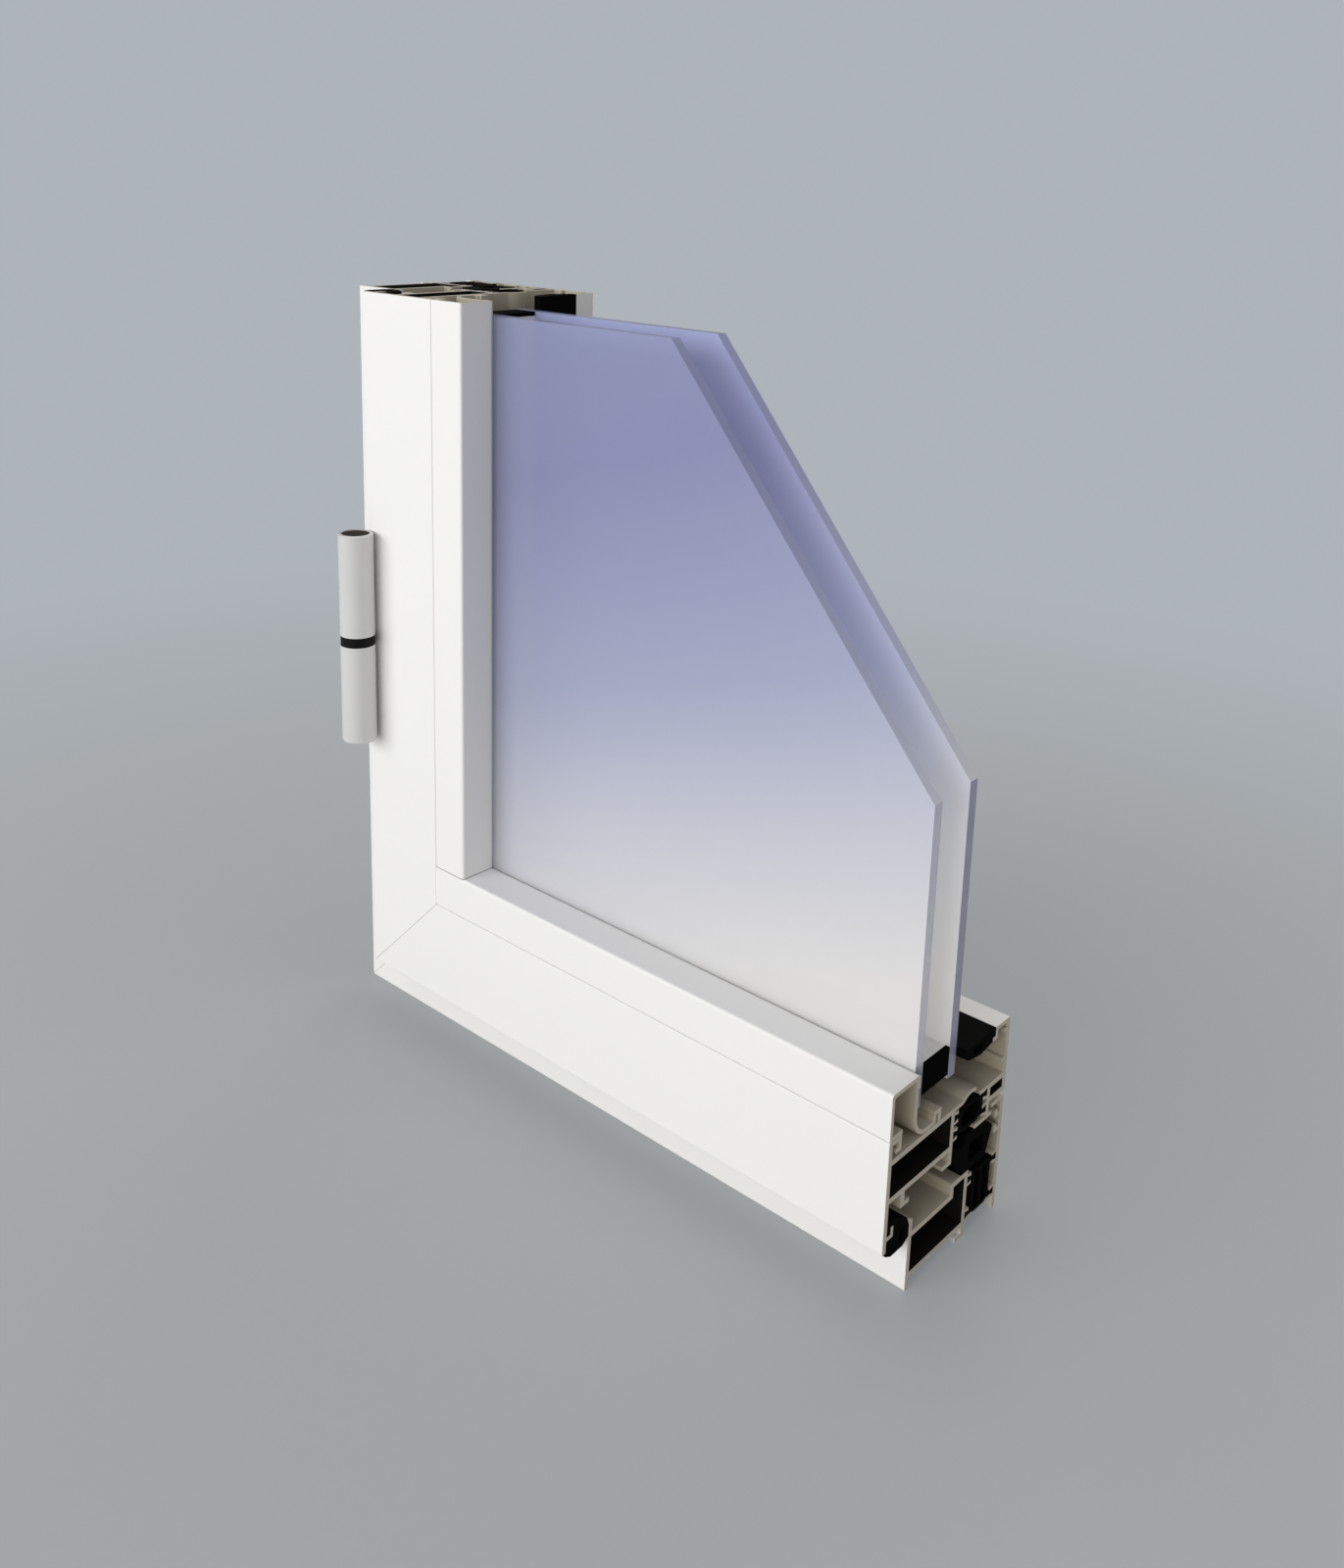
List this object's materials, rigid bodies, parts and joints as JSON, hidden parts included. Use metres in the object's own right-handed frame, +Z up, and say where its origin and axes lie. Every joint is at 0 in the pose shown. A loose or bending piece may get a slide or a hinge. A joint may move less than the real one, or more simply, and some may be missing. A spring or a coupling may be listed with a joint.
{
  "type": "tilt and turn window corner sample",
  "caption": "Corner of a thermally broken aluminium tilt and turn window with double glazing, cut open to show its frame, sash, gaskets and hinge.",
  "frame": {"origin": "centre of the bounding box at the level of the sill's underside", "axes": "+X right along the sill seen from the room, +Y from the room to the outside, +Z up"},
  "size_m": [0.262, 0.0812, 0.285],
  "materials": {
    "coated_aluminium": "white gloss coating on extruded aluminium",
    "bare_aluminium": "mill finish",
    "black_polyamide": "matt black, glass filled",
    "black_rubber": "matt black",
    "grey_rubber": "light grey",
    "pane_glass": "clear",
    "pale_spacer": "matt, pale grey",
    "black_sealant": "black",
    "white_hinge": "white gloss coating",
    "black_washer": "black",
    "steel_pin": "dark turned steel",
    "dark_cap": "black, slightly glossy"
  },
  "bodies": {
    "root": {"frame_sill_inner_shell": "coated_aluminium", "frame_jamb_inner_shell": "coated_aluminium", "frame_sill_outer_shell": "coated_aluminium", "frame_jamb_outer_shell": "coated_aluminium", "frame_sill_break": "black_polyamide", "frame_jamb_break": "black_polyamide", "sash_rail_inner_shell": "coated_aluminium", "sash_stile_inner_shell": "coated_aluminium", "sash_rail_outer_shell": "coated_aluminium", "sash_stile_outer_shell": "coated_aluminium", "sash_rail_break": "black_polyamide", "sash_stile_break": "black_polyamide", "central_gasket_sill": "black_rubber", "central_gasket_jamb": "black_rubber", "glazing_gasket_rail": "black_rubber", "glazing_gasket_stile": "black_rubber", "overlap_gasket_rail": "black_rubber", "overlap_gasket_stile": "black_rubber", "bead_level": "coated_aluminium", "bead_upright": "coated_aluminium", "bead_gasket_level": "grey_rubber", "bead_gasket_upright": "grey_rubber", "inner_pane": "pane_glass", "outer_pane": "pane_glass", "spacer_bar": "pale_spacer", "edge_sealant": "black_sealant", "frame_corner_cleat": "bare_aluminium", "sash_corner_cleat": "bare_aluminium", "setting_block": "black_polyamide", "hinge_frame_knuckle": "white_hinge", "hinge_sash_knuckle": "white_hinge", "hinge_washer": "black_washer", "hinge_pin": "steel_pin", "hinge_cap": "dark_cap"}
  },
  "joints": []
}
